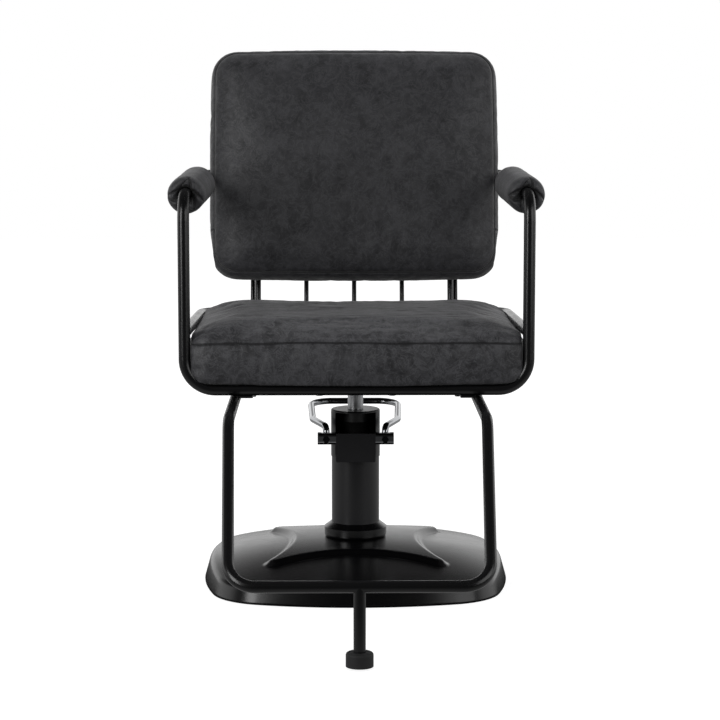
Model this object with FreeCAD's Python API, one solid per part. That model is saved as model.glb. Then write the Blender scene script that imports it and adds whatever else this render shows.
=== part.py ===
import FreeCAD, Part
import math
import os

os.makedirs("parts", exist_ok=True)

# A hydraulic salon styling chair. Millimetres, +Z up, the front of the chair faces -Y.
# The origin is on the floor, under the middle of the base and the lift column.

# Small clearances and overruns that serve the whole model
running_gap = 0.05
soft_gap = 0.4
overrun = 2.0

# Bent tube frame around the sitter
frame_radius = 10.2
frame_wall = 2.0
frame_half_width = 294.5
frame_front_y = -230.0
frame_bottom_z = 373.0
frame_bottom_bend = 52.0
arm_front_z = 705.0
arm_bend = 44.0
arm_joint_setback = 78.0
arm_toe_in = 6.5
arm_rear_y = 316.0
arm_rear_z = 720.0
arm_rear_bend = 55.0

# Tube hoop around the seat
hoop_front_z = 471.0
hoop_toe_in = 3.5
hoop_rear_y = 250.0
hoop_rear_z = 458.0
hoop_rear_bend = 60.0

# Rods behind the sitter
spindle_radius = 4.4
spindle_gap = 0.6
spindle_inner_share = 0.472
upright_radius = 5.5
upright_inset = 65.5
upright_knee_bend = 60.0
upright_length_above_hoop = 440.0

# Seat board and what carries it
bearer_width = 26.0
bearer_thickness = 4.0
bearer_offset = 6.5
bearer_front_reach = 6.0
board_thickness = 20.0
board_side_inset = 15.0
board_front_gap = 6.0
board_rear_y = 222.0
board_corner = 40.0
cross_bar_width = 40.0
cross_bar_height = 9.0
cross_bar_wall = 2.0
cross_bar_end_gap = 1.5
cross_bar_y = 75.0
mount_plate_half = 88.0
mount_plate_thickness = 5.0
mount_plate_corner = 12.0
mount_bolt_radius = 4.0
mount_bolt_spacing = 130.0
mount_bolt_head_radius = 6.5
mount_bolt_head_height = 4.0
board_screw_radius = 2.5
board_screw_length = 16.0
board_screw_head_radius = 5.0
board_screw_head_height = 2.6
board_screw_y = 170.0

# Seat cushion
cover_skin = 2.5
seat_cushion_corner = 32.0
seat_side_bulge = 4.0
cushion_side_turn = math.radians(1.5)
seat_cushion_side_gap = 1.3
seat_cushion_front_y = -252.0
seat_cushion_rear_y = 225.0
seat_side_height = 73.0
seat_crown = 30.0

# Back cushion and its board
back_cushion_side_gap = 2.8
back_cushion_height = 445.0
back_cushion_lift = 54.0
back_cushion_corner = 46.0
back_side_bulge = 8.0
back_side_height = 66.0
back_crown = 20.0
back_board_side_inset = 25.0
back_board_height = 390.0
back_board_thickness = 12.0
back_board_corner = 30.0
back_bracket_width = 52.0
back_bracket_height = 26.0
back_bracket_thickness = 3.0
back_bracket_low = 120.0
back_bracket_high = 400.0
back_screw_spacing = 34.0

# Arm pads
pad_radius = 32.5
pad_length = 300.0
pad_setback = 48.0
pad_drop = 4.0
pad_skin = 3.0
pad_foam_inset = 14.0
pad_round = 12.0

# Footrest and its leg
foot_tube_radius = 9.5
foot_tube_wall = 1.8
foot_tube_offset = 7.0
foot_taper = 9.0
foot_top_z = 349.0
foot_rear_y = 50.0
foot_bend_y = -425.0
foot_top_bend = 60.0
foot_bar_y = -665.0
foot_bar_z = 127.5
foot_bar_bend = 44.0
foot_clamp_length = 24.0
foot_clamp_height = 22.0
foot_clamp_outer_wall = 7.0
foot_clamp_y = 30.0
foot_clamp_bolt_radius = 3.0
foot_clamp_bolt_head_radius = 5.0
foot_clamp_bolt_head_height = 4.0
leg_foot_radius = 21.6
leg_foot_round = 4.0
leg_foot_height = 22.0
leg_foot_clearance = 3.0
leg_foot_floor = 5.0

# Base pressing with its raised star
base_half = 275.0
base_side_turn = math.radians(15.5)
base_corner = 112.0
base_rim_height = 40.0
base_rim_inset = 11.0
base_dome_height = 64.3
base_dome_radius = 1400.0
base_edge_fillet = 11.0
base_wall = 2.5
base_floor_gap = 1.0
star_rise = 9.0
star_tip = 143.0
star_tip_radius = 13.0
star_waist = 114.0
star_slope = 4.0
floor_mat_thickness = 3.0
floor_mat_inset = 14.0
base_plate_thickness = 9.0
base_plate_gap = 0.4

# Lift column
pump_tube_radius = 43.3
pump_tube_wall = 3.5
pump_head_radius = 44.5
pump_head_wall = 5.0
pump_head_bottom_z = 220.5
pump_cap_bottom_z = 303.0
pump_cap_top_z = 306.5
pump_cap_round = 2.5
head_spigot_length = 14.0
head_spigot_gap = 0.8
flange_radius = 56.6
flange_band_top_z = 90.0
flange_top_z = 99.0
flange_round = 7.0
pump_foot_radius = 72.0
pump_foot_thickness = 12.0
pump_foot_spigot = 16.0
foot_bolt_circle = 58.0
foot_bolt_radius = 4.0
foot_bolt_head_radius = 6.5
foot_bolt_head_height = 5.3
cylinder_radius = 22.0
cylinder_bore = 18.0
cylinder_top_z = 284.0
rod_radius = 14.0
rod_top_z = 372.0
rod_nut_length = 10.0
piston_length = 26.0
piston_bottom_gap = 6.0
piston_seal_width = 5.0
piston_seal_depth = 2.5
bush_length = 40.0
wiper_lip_radius = 19.0
socket_radius = 26.0
socket_flange_radius = 40.0
socket_flange_thickness = 6.0
socket_bottom_z = 335.0
socket_roof = 5.0
swivel_bush_wall = 3.0
thrust_washer_thickness = 1.6

# Window, yoke and foot lever
window_half_width = 36.6
window_bottom_z = 224.0
window_cut_y = -10.0
pivot_y = -48.5
pivot_z = 232.0
pivot_pin_radius = 2.5
pivot_pin_half_length = 30.0
head_lug_inner_x = 14.0
head_lug_outer_x = 22.0
head_lug_rear_y = -34.0
head_lug_radius = 5.0
yoke_plate_half_width = 35.6
yoke_plate_bottom_z = 217.0
yoke_plate_top_z = 269.0
yoke_plate_rear_y = -54.0
yoke_plate_thickness = 5.0
yoke_plate_corner = 3.0
yoke_ear_inner_x = 22.6
yoke_ear_outer_x = 29.0
yoke_ear_radius = 5.2
finger_half_width = 5.0
finger_radius = 3.0
plunger_y = -31.0
clamp_outer_x = 68.6
clamp_bottom_z = 248.5
clamp_top_z = 269.5
clamp_rear_y = -42.0
clamp_front_y = -58.5
clamp_round = 6.0
clamp_screw_head_radius = 6.5
clamp_screw_head_height = 5.0
clamp_screw_radius = 4.0
lever_radius = 6.0
lever_grip_x = 53.0
lever_grip_y = -50.0
lever_grip_depth = 18.0
lever_z = 281.0
lever_shoulder_half_width = 78.0
lever_shoulder_y = 38.0
lever_rear_half_width = 83.5
lever_rear_y = 200.0
lever_rear_z = 292.0
lever_grip_bend = 11.0
lever_shoulder_bend = 30.0
lever_rear_bend = 40.0

# Small foot pump inside the column
plunger_radius = 4.0
plunger_head_radius = 7.6
plunger_head_thickness = 5.0
plunger_lead = 0.4
plunger_length = 52.0
barrel_radius = 7.5
barrel_top_z = 199.0
barrel_length = 60.0
barrel_bracket_half = 4.0
spring_wire_radius = 0.7
spring_coil_radius = 5.6
spring_turns = 6

# How finely the soft forms are shaped, and shares of the named sizes that they follow
cushion_side_steps = 6
cushion_crown_steps = 4
seat_crown_reach_share = 0.25
back_crown_reach_share = 0.5
corner_growth_share = 0.2


def vector(x, y, z):
    return FreeCAD.Vector(x, y, z)


def write(name, shape):
    """Write one node. A list of solids becomes one group node."""
    if isinstance(shape, list):
        shape = Part.makeCompound(shape)
    solids = shape.Solids
    good = shape.isValid() and len(solids) > 0
    print(f"{name:24s} solids {len(solids):2d} volume {shape.Volume:12.1f} {'ok' if good else 'BAD'}")
    shape.exportStep(os.path.join("parts", name + ".step"))


def mirrored(shape):
    """The same piece on the other side of the chair."""
    return shape.mirror(vector(0, 0, 0), vector(1, 0, 0))


def bent_wire(points, bends):
    """Straight runs through the points, with a tangent arc of the given radius at each inner one."""
    edges = []
    last = points[0]
    for before, corner, after, bend in zip(points, points[1:], points[2:], bends):
        back = (before - corner).normalize()
        ahead = (after - corner).normalize()
        half_turn = (math.pi - back.getAngle(ahead)) / 2
        cut = bend * math.tan(half_turn)
        start = corner + back * cut
        end = corner + ahead * cut
        inward = (back + ahead).normalize()
        centre = corner + inward * (bend / math.cos(half_turn))
        edges.append(Part.makeLine(last, start))
        edges.append(Part.Arc(start, centre - inward * bend, end).toShape())
        last = end
    edges.append(Part.makeLine(last, points[-1]))
    return Part.Wire(edges)


def bent_rod(points, bends, radius):
    """A round bar swept along a bent wire."""
    profile = Part.Wire([Part.makeCircle(radius, points[0], points[1] - points[0])])
    return bent_wire(points, bends).makePipeShell([profile], True, False)


def bent_tube(points, bends, radius, wall):
    return bent_rod(points, bends, radius).cut(bent_rod(points, bends, radius - wall))


def disc(radius, bottom_z, top_z, x=0, y=0):
    """An upright cylinder."""
    return Part.makeCylinder(radius, top_z - bottom_z, vector(x, y, bottom_z))


def ring(outer, inner, bottom_z, top_z, x=0, y=0):
    return disc(outer, bottom_z, top_z, x, y).cut(disc(inner, bottom_z - overrun, top_z + overrun, x, y))


def block(low, high):
    """A box between two corners."""
    size = high - low
    return Part.makeBox(size.x, size.y, size.z, low)


def rounded_slab(half_x, front_y, rear_y, corner, bottom_z, top_z):
    """A flat board with round corners."""
    slab = block(vector(-half_x, front_y, bottom_z), vector(half_x, rear_y, top_z))
    upright_edges = [e for e in slab.Edges if abs(e.tangentAt(e.FirstParameter).z) > math.cos(math.pi / 4)]
    return slab.makeFillet(corner, upright_edges)


def screw(head, direction, radius, length, head_radius, head_height):
    """A round-headed screw: the head stands off the point `head`, and the shank goes the other way."""
    cap = Part.makeCylinder(head_radius, head_height, head, direction)
    shank = Part.makeCylinder(radius, length, head, direction * -1)
    return cap.fuse(shank)


def bolt(head, direction, radius, length, head_radius, head_height):
    """A six-sided bolt: the head stands off the point `head`, and the shank goes the other way."""
    turns = [i * math.pi / 3 for i in range(7)]
    corners = [vector(head_radius * math.cos(turn), head_radius * math.sin(turn), 0) for turn in turns]
    cap = Part.Face(Part.makePolygon(corners)).extrude(vector(0, 0, head_height))
    cap.Placement = FreeCAD.Placement(head, FreeCAD.Rotation(vector(0, 0, 1), direction))
    return cap.fuse(Part.makeCylinder(radius, length, head, direction * -1))


def bowed_outline(half_x, half_y, corner, side_turn, z, mid_y=0):
    """A closed outline of four slightly bowed sides that run smoothly into four round corners."""
    ease = math.tan(side_turn / 2)
    reach_x = half_x - corner
    reach_y = half_y - corner
    centre_x = (reach_x - ease * reach_y) / (1 - ease ** 2)
    centre_y = (reach_y - ease * reach_x) / (1 - ease ** 2)
    near_x = centre_x + corner * math.sin(side_turn)
    near_y = centre_y + corner * math.cos(side_turn)
    far_x = centre_x + corner * math.cos(side_turn)
    far_y = centre_y + corner * math.sin(side_turn)
    nose_x = centre_x + corner / math.sqrt(2)
    nose_y = centre_y + corner / math.sqrt(2)
    around = [(-near_x, -near_y), (0, -half_y), (near_x, -near_y), (nose_x, -nose_y),
              (far_x, -far_y), (half_x, 0), (far_x, far_y), (nose_x, nose_y),
              (near_x, near_y), (0, half_y), (-near_x, near_y), (-nose_x, nose_y),
              (-far_x, far_y), (-half_x, 0), (-far_x, -far_y), (-nose_x, -nose_y)]
    return arcs_through([vector(x, y + mid_y, z) for x, y in around])


def arcs_through(points):
    """A closed wire of arcs, each from one point through the next to the one after."""
    ring_points = points + [points[0]]
    return Part.Wire([Part.Arc(*ring_points[i:i + 3]).toShape() for i in range(0, len(points), 2)])


def box_cushion(inset_all, half_x, front_y, rear_y, side_height, crown, bottom_z, corner, bulge, reach_share):
    """A box cushion: sides that swell between the seams, and a crowned top."""
    half_x = half_x - inset_all
    front_y = front_y + inset_all
    rear_y = rear_y - inset_all
    side_height = side_height - inset_all * 2
    bottom_z = bottom_z + inset_all
    half_y = (rear_y - front_y) / 2
    mid_y = (rear_y + front_y) / 2
    seam_z = bottom_z + side_height
    sides = []
    for i in range(cushion_side_steps + 1):
        turn = math.pi * i / cushion_side_steps
        inset = bulge * (1 - math.sin(turn))
        sides.append(bowed_outline(half_x - inset, half_y - inset, corner, cushion_side_turn,
                                   seam_z - side_height * (1 + math.cos(turn)) / 2, mid_y))
    top = []
    for i in range(cushion_crown_steps + 1):
        turn = math.pi / 2 * i / cushion_crown_steps
        fall_in = half_y * reach_share * (1 - math.cos(turn))
        inset = bulge + fall_in
        top.append(bowed_outline(half_x - inset, half_y - inset, corner + fall_in * corner_growth_share,
                                 cushion_side_turn, seam_z + crown * math.sin(turn), mid_y))
    return Part.makeLoft(sides, True, False).fuse(Part.makeLoft(top, True, False, False, 3))


# Widths that follow from the frame's width, from the tubes inwards
arm_rear_half_width = frame_half_width - arm_toe_in
hoop_rear_half_width = frame_half_width - hoop_toe_in
seat_cushion_half_width = frame_half_width - frame_radius - seat_cushion_side_gap
board_half_width = seat_cushion_half_width - board_side_inset
back_cushion_half_width = arm_rear_half_width - frame_radius - back_cushion_side_gap
back_board_half_width = back_cushion_half_width - back_board_side_inset
upright_x = back_board_half_width - upright_inset
spindle_outer_x = upright_x + upright_radius + spindle_gap + spindle_radius
spindle_inner_x = spindle_outer_x * spindle_inner_share
bearer_x = upright_x + bearer_offset
foot_top_half_width = bearer_x + bearer_width / 2 + foot_tube_offset
foot_bar_half_width = foot_top_half_width - foot_taper

# The lines that the bent tubes follow
arm_front = vector(frame_half_width, frame_front_y, arm_front_z)
arm_rear = vector(arm_rear_half_width, arm_rear_y, arm_rear_z)
arm_way = (arm_rear - arm_front).normalize()
arm_joint = arm_front + arm_way * arm_joint_setback
hoop_front = vector(frame_half_width, frame_front_y, hoop_front_z)
hoop_rear = vector(hoop_rear_half_width, hoop_rear_y, hoop_rear_z)
spindle_lean = math.atan2(arm_rear_y - hoop_rear_y, arm_rear_z - hoop_rear_z)
upright_y = hoop_rear_y - frame_radius - upright_radius

# Heights under the seat, stacked down from the frame's bottom tube
bearer_top_z = frame_bottom_z - frame_radius
bearer_bottom_z = bearer_top_z - bearer_thickness
board_top_z = bearer_top_z + board_thickness
cross_bar_bottom_z = bearer_bottom_z - cross_bar_height
mount_plate_bottom_z = cross_bar_bottom_z - mount_plate_thickness
cushion_bottom_z = board_top_z + soft_gap
board_front_y = frame_front_y + frame_radius + board_front_gap


def left(point):
    return vector(-point.x, point.y, point.z)


def front_frame_points():
    bottom = vector(frame_half_width, frame_front_y, frame_bottom_z)
    return [arm_joint, arm_front, bottom, left(bottom), left(arm_front), left(arm_joint)]


def front_frame(radius):
    bends = [arm_bend, frame_bottom_bend, frame_bottom_bend, arm_bend]
    return bent_rod(front_frame_points(), bends, radius)


def arm_hoop(radius):
    points = [arm_joint, arm_rear, left(arm_rear), left(arm_joint)]
    return bent_rod(points, [arm_rear_bend, arm_rear_bend], radius)


def seat_hoop(radius):
    points = [hoop_front, hoop_rear, left(hoop_rear), left(hoop_front)]
    return bent_rod(points, [hoop_rear_bend, hoop_rear_bend], radius)


def back_placed(shape):
    """Move a shape drawn flat, with Y up the back and Z towards the sitter, to the leaning back."""
    turn = FreeCAD.Rotation(vector(1, 0, 0), 90 - math.degrees(spindle_lean))
    shape.Placement = FreeCAD.Placement(vector(0, upright_y, hoop_rear_z), turn)
    return shape


def spindles(hoops):
    """Five slim rods between the seat hoop and the arm hoop, shaped to fit the tubes."""
    rods = []
    for x in (-spindle_outer_x, -spindle_inner_x, 0, spindle_inner_x, spindle_outer_x):
        ends = [vector(x, hoop_rear_y, hoop_rear_z), vector(x, arm_rear_y, arm_rear_z)]
        rod = Part.makeCylinder(spindle_radius, (ends[1] - ends[0]).Length, ends[0], ends[1] - ends[0])
        rods.append(rod.cut(hoops))
    return rods


def back_upright(hoops):
    """A bent rod from the bearer's rear end, up in front of both hoops, to carry the back board."""
    foot = vector(upright_x, upright_y, bearer_top_z)
    knee = vector(upright_x, upright_y, hoop_rear_z)
    rise = vector(0, math.sin(spindle_lean), math.cos(spindle_lean))
    top = knee + rise * upright_length_above_hoop
    return bent_rod([foot, knee, top], [upright_knee_bend], upright_radius).cut(hoops)


def seat_bearer():
    """A flat strap under the seat, from the front tube to the foot of the upright."""
    low = vector(bearer_x - bearer_width / 2, frame_front_y - bearer_front_reach, bearer_bottom_z)
    high = vector(bearer_x + bearer_width / 2, upright_y + upright_radius, bearer_top_z)
    return block(low, high)


def cross_bar(y):
    """A flat rectangular tube welded across under the two bearers, between the footrest's two runs."""
    half_x = foot_top_half_width - foot_tube_radius - cross_bar_end_gap
    half_y = cross_bar_width / 2
    outer = block(vector(-half_x, y - half_y, cross_bar_bottom_z), vector(half_x, y + half_y, bearer_bottom_z))
    inner_low = vector(-half_x - overrun, y - half_y + cross_bar_wall, cross_bar_bottom_z + cross_bar_wall)
    inner_high = vector(half_x + overrun, y + half_y - cross_bar_wall, bearer_bottom_z - cross_bar_wall)
    return outer.cut(block(inner_low, inner_high))


def mount_bolts():
    """Four bolts that hold the seat plate to the two cross bars."""
    bolts = []
    for sx in (-1, 1):
        for sy in (-1, 1):
            place = vector(sx * mount_bolt_spacing / 2, sy * cross_bar_y, mount_plate_bottom_z)
            length = mount_plate_thickness + cross_bar_height
            bolts.append(bolt(place, vector(0, 0, -1), mount_bolt_radius, length,
                              mount_bolt_head_radius, mount_bolt_head_height))
    return bolts


def mount_plate(bolts):
    plate = rounded_slab(mount_plate_half, -mount_plate_half - cross_bar_width / 4,
                         mount_plate_half + cross_bar_width / 4, mount_plate_corner,
                         mount_plate_bottom_z, cross_bar_bottom_z)
    plate = plate.cut(disc(socket_radius, mount_plate_bottom_z - overrun, cross_bar_bottom_z + overrun))
    return plate.cut(bolts)


def swivel_socket():
    """The turned socket that drops over the top of the lift rod, with a flange under the seat plate."""
    bore = rod_radius + running_gap + swivel_bush_wall
    roof_z = rod_top_z + running_gap + thrust_washer_thickness
    body = disc(socket_radius, socket_bottom_z, roof_z + socket_roof)
    flange = disc(socket_flange_radius, mount_plate_bottom_z - socket_flange_thickness, mount_plate_bottom_z)
    return body.fuse(flange).cut(disc(bore, socket_bottom_z - socket_flange_thickness, roof_z)).removeSplitter()


def seat_board_screws():
    """Four wood screws up through the bearers into the seat board."""
    screws = []
    for sx in (-1, 1):
        for sy in (-1, 1):
            place = vector(sx * bearer_x, sy * board_screw_y, bearer_bottom_z)
            screws.append(screw(place, vector(0, 0, -1), board_screw_radius, board_screw_length,
                                board_screw_head_radius, board_screw_head_height))
    return screws


def seat_board(screws, uprights):
    board = rounded_slab(board_half_width, board_front_y, board_rear_y, board_corner, bearer_top_z, board_top_z)
    hole = disc(socket_radius + overrun, bearer_top_z - overrun, board_top_z + overrun)
    return board.cut(hole).cut(screws).cut(uprights)


def seat_form(inset_all):
    """The seat cushion's form, drawn in all round by one inset, and hollowed where the front tube presses in."""
    form = box_cushion(inset_all, seat_cushion_half_width, seat_cushion_front_y, seat_cushion_rear_y,
                       seat_side_height, seat_crown, cushion_bottom_z, seat_cushion_corner,
                       seat_side_bulge, seat_crown_reach_share)
    return form.cut(front_frame(frame_radius + soft_gap + inset_all))


def seat_cushion():
    """The stitched leather cover, with the room inside for its foam."""
    return seat_form(0).cut(seat_form(cover_skin))


def seat_foam():
    return seat_form(cover_skin + soft_gap)


def back_brackets(screws):
    """Four small plates welded across the front of the uprights, for the back board's screws."""
    plates = []
    low_z = upright_radius
    for sx in (-1, 1):
        for y in (back_bracket_low, back_bracket_high):
            low = vector(sx * upright_x - back_bracket_width / 2, y - back_bracket_height / 2, low_z)
            high = vector(sx * upright_x + back_bracket_width / 2, y + back_bracket_height / 2,
                          low_z + back_bracket_thickness)
            plates.append(back_placed(block(low, high)).cut(screws))
    return plates


def back_screws():
    """Eight screws through the small plates into the back board."""
    screws = []
    for sx in (-1, 1):
        for y in (back_bracket_low, back_bracket_high):
            for side in (-1, 1):
                place = vector(sx * upright_x + side * back_screw_spacing / 2, y, upright_radius)
                screws.append(back_placed(screw(place, vector(0, 0, -1), board_screw_radius,
                                                back_bracket_thickness + back_board_thickness / 2,
                                                board_screw_head_radius, board_screw_head_height)))
    return screws


def back_board(screws):
    bottom_z = upright_radius + back_bracket_thickness
    mid = back_cushion_lift + back_cushion_height / 2
    board = rounded_slab(back_board_half_width, mid - back_board_height / 2, mid + back_board_height / 2,
                         back_board_corner, bottom_z, bottom_z + back_board_thickness)
    return back_placed(board).cut(screws)


def back_form(inset_all):
    """The back cushion's form, drawn in all round by one inset."""
    bottom_z = upright_radius + back_bracket_thickness + back_board_thickness + soft_gap
    return back_placed(box_cushion(inset_all, back_cushion_half_width, back_cushion_lift,
                                   back_cushion_lift + back_cushion_height, back_side_height, back_crown,
                                   bottom_z, back_cushion_corner, back_side_bulge, back_crown_reach_share))


def back_cushion():
    """The stitched leather cover, with the room inside for its foam."""
    return back_form(0).cut(back_form(cover_skin))


def back_foam():
    return back_form(cover_skin + soft_gap)


def along_arm(shape):
    """Set a shape drawn along Z onto the right arm tube, its foot at the pad's front end."""
    start = arm_front + arm_way * pad_setback
    shape.Placement = FreeCAD.Placement(start, FreeCAD.Rotation(vector(0, 0, 1), arm_way))
    return shape


def pad_shape(radius, length):
    """A round roll with softly drawn-in ends, along Z."""
    roll = Part.makeCylinder(radius, length, vector(0, pad_drop, 0))
    end_edges = [e for e in roll.Edges if len(e.Vertexes) == 1]
    return roll.makeFillet(pad_round, end_edges)


def arm_foam():
    """The foam core of the right arm pad, bored for the arm tube."""
    radius = pad_radius - pad_skin
    core = Part.makeCylinder(radius, pad_length - 2 * pad_foam_inset, vector(0, pad_drop, pad_foam_inset))
    bore = Part.makeCylinder(frame_radius + soft_gap, pad_length + 2 * overrun, vector(0, 0, -overrun))
    return along_arm(core.cut(bore))


def arm_pad():
    """The right arm pad's stitched leather sleeve, closed over the foam at both ends."""
    sleeve = pad_shape(pad_radius, pad_length)
    core = Part.makeCylinder(pad_radius - pad_skin + soft_gap, pad_length - 2 * pad_foam_inset + 2 * soft_gap,
                             vector(0, pad_drop, pad_foam_inset - soft_gap))
    bore = Part.makeCylinder(frame_radius + soft_gap, pad_length + 2 * overrun, vector(0, 0, -overrun))
    return along_arm(sleeve.cut(core).cut(bore))


def footrest_points():
    rear = vector(foot_top_half_width, foot_rear_y, foot_top_z)
    bend = vector(foot_top_half_width, foot_bend_y, foot_top_z)
    bar = vector(foot_bar_half_width, foot_bar_y, foot_bar_z)
    return [rear, bend, bar, left(bar), left(bend), left(rear)]


def footrest(radius):
    bends = [foot_top_bend, foot_bar_bend, foot_bar_bend, foot_top_bend]
    return bent_rod(footrest_points(), bends, radius)


def footrest_clamps():
    """Four blocks bolted under the bearers, each bored for the footrest tube."""
    blocks = []
    inner_x = bearer_x - bearer_width / 2
    outer_x = foot_top_half_width + foot_tube_radius + foot_clamp_outer_wall
    tube_bore = Part.makeCylinder(foot_tube_radius, foot_clamp_length * 8,
                                  vector(foot_top_half_width, -foot_clamp_length * 4, foot_top_z), vector(0, 1, 0))
    for y in (-foot_clamp_y, foot_clamp_y):
        low = vector(inner_x, y - foot_clamp_length / 2, bearer_bottom_z - foot_clamp_height)
        high = vector(outer_x, y + foot_clamp_length / 2, bearer_bottom_z)
        piece = block(low, high).cut(tube_bore)
        blocks.append(piece)
        blocks.append(mirrored(piece))
    return blocks


def footrest_clamp_bolts():
    bolts = []
    for sx in (-1, 1):
        for y in (-foot_clamp_y, foot_clamp_y):
            place = vector(sx * (bearer_x - bearer_width / 4), y, bearer_bottom_z - foot_clamp_height)
            bolts.append(bolt(place, vector(0, 0, -1), foot_clamp_bolt_radius,
                              foot_clamp_height + bearer_thickness, foot_clamp_bolt_head_radius,
                              foot_clamp_bolt_head_height))
    return bolts


leg_bottom_z = leg_foot_clearance + leg_foot_floor


def antitip_leg():
    """The leg under the footrest bar, shaped to fit the bar."""
    leg = ring(foot_tube_radius, foot_tube_radius - foot_tube_wall, leg_bottom_z, foot_bar_z, 0, foot_bar_y)
    return leg.cut(footrest(foot_tube_radius))


def leg_foot():
    """The round rubber foot pushed over the end of the leg."""
    top_z = leg_foot_clearance + leg_foot_height
    drum = disc(leg_foot_radius, leg_foot_clearance, top_z, 0, foot_bar_y)
    top_edges = [e for e in drum.Edges if e.BoundBox.ZMin > top_z - leg_foot_round]
    drum = drum.makeFillet(leg_foot_round, top_edges)
    return drum.cut(disc(foot_tube_radius, leg_bottom_z, top_z + overrun, 0, foot_bar_y))


def base_outline(inset, z):
    """The base seen from above: a square with bowed sides and large round corners."""
    return bowed_outline(base_half - inset, base_half - inset, base_corner - inset, base_side_turn, z)


def below_dome(apex_z):
    """The space under a shallow dome, with a hole down its middle."""
    inner = pump_tube_radius / 2
    outer = base_half * 2
    centre_z = apex_z - base_dome_radius
    crown = []
    for reach in (inner, (inner + outer) / 2, outer):
        crown.append(vector(reach, 0, centre_z + math.sqrt(base_dome_radius ** 2 - reach ** 2)))
    low_z = -base_half
    sides = [crown[2], vector(outer, 0, low_z), vector(inner, 0, low_z), crown[0]]
    edges = [Part.Arc(*crown).toShape()]
    edges += [Part.makeLine(a, b) for a, b in zip(sides, sides[1:])]
    return Part.Face(Part.Wire(edges)).revolve(vector(0, 0, 0), vector(0, 0, 1), 360)


def base_body(inset, drop):
    """The sloping rim cut off by the shallow dome of the top."""
    rim = Part.makeLoft([base_outline(inset, base_floor_gap),
                         base_outline(inset + base_rim_inset * 2, base_rim_height * 2)], True, True)
    return rim.common(below_dome(base_dome_height - drop))


def star_outline(grow, z):
    """Four concave sides between four round tips that point at the corners."""
    tip_radius = star_tip_radius + grow
    waist = star_waist + grow
    side = tip_radius / math.sqrt(2)
    outer = tip_radius
    arcs = []
    for turn in range(4):
        spin = FreeCAD.Rotation(vector(0, 0, 1), 90 * turn)
        first = vector(star_tip + side, star_tip - side, 0)
        nose = vector(star_tip + outer / math.sqrt(2), star_tip + outer / math.sqrt(2), 0)
        last = vector(star_tip - side, star_tip + side, 0)
        start_next = FreeCAD.Rotation(vector(0, 0, 1), 90).multVec(first)
        middle = vector(0, waist, 0)
        lift = vector(0, 0, z)
        arcs.append(Part.Arc(spin.multVec(first) + lift, spin.multVec(nose) + lift,
                             spin.multVec(last) + lift).toShape())
        arcs.append(Part.Arc(spin.multVec(last) + lift, spin.multVec(middle) + lift,
                             spin.multVec(start_next) + lift).toShape())
    return Part.Wire(arcs)


def star_body(shrink, drop):
    """The raised star: a prism whose sides slope, cut off by a dome above the plate's."""
    top_z = base_dome_height + star_rise * 2
    low_z = base_rim_height / 2
    prism = Part.makeLoft([star_outline(star_slope - shrink, low_z), star_outline(0 - shrink, top_z)], True, True)
    return prism.common(below_dome(base_dome_height + star_rise - drop))


def base_cover():
    """The pressed steel cover of the base, with its star and the hole for the column."""
    outer = base_body(0, 0)
    dome = max(outer.Faces, key=lambda face: face.CenterOfMass.z)
    rim_edges = [e for e in dome.Edges
                 if min(math.hypot(v.X, v.Y) for v in e.Vertexes) > base_half / 2]
    outer = outer.makeFillet(base_edge_fillet, rim_edges)
    outer = outer.fuse(star_body(0, 0))
    inner = base_body(base_wall, base_wall).fuse(star_body(base_wall, base_wall))
    inner = inner.fuse(Part.makeLoft([base_outline(base_wall, base_floor_gap - overrun),
                                      base_outline(base_wall, base_floor_gap + overrun / 4)], True, True))
    cover = outer.cut(inner)
    return cover.cut(disc(pump_tube_radius + soft_gap, base_floor_gap, base_dome_height * 2))


def base_plate(bolts):
    """The heavy steel plate inside the cover, which gives the base its weight."""
    low_z = floor_mat_thickness
    inset = base_wall + base_plate_gap + base_rim_inset * (low_z + base_plate_thickness) / base_rim_height
    plate = Part.Face(base_outline(inset, low_z)).extrude(vector(0, 0, base_plate_thickness))
    return plate.cut(bolts)


def floor_mat():
    return Part.Face(base_outline(floor_mat_inset, 0)).extrude(vector(0, 0, floor_mat_thickness))


base_plate_top_z = floor_mat_thickness + base_plate_thickness
foot_top_z_inside = base_plate_top_z + pump_foot_thickness
cylinder_bottom_z = foot_top_z_inside + piston_bottom_gap


def foot_bolts():
    """Four bolts down through the pump's foot into the base plate."""
    bolts = []
    for i in range(4):
        turn = math.pi / 4 + i * math.pi / 2
        place = vector(foot_bolt_circle * math.cos(turn), foot_bolt_circle * math.sin(turn), foot_top_z_inside)
        bolts.append(bolt(place, vector(0, 0, 1), foot_bolt_radius, pump_foot_thickness + base_plate_thickness,
                          foot_bolt_head_radius, foot_bolt_head_height))
    return bolts


def pump_foot(bolts):
    """The cast foot of the pump, with a spigot that centres the tube and the cylinder."""
    inner = pump_tube_radius - pump_tube_wall
    foot = disc(pump_foot_radius, base_plate_top_z, foot_top_z_inside)
    foot = foot.fuse(disc(inner, foot_top_z_inside, foot_top_z_inside + pump_foot_spigot))
    foot = foot.cut(disc(cylinder_radius, cylinder_bottom_z, foot_top_z_inside + pump_foot_spigot + overrun))
    return foot.cut(bolts).removeSplitter()


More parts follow.
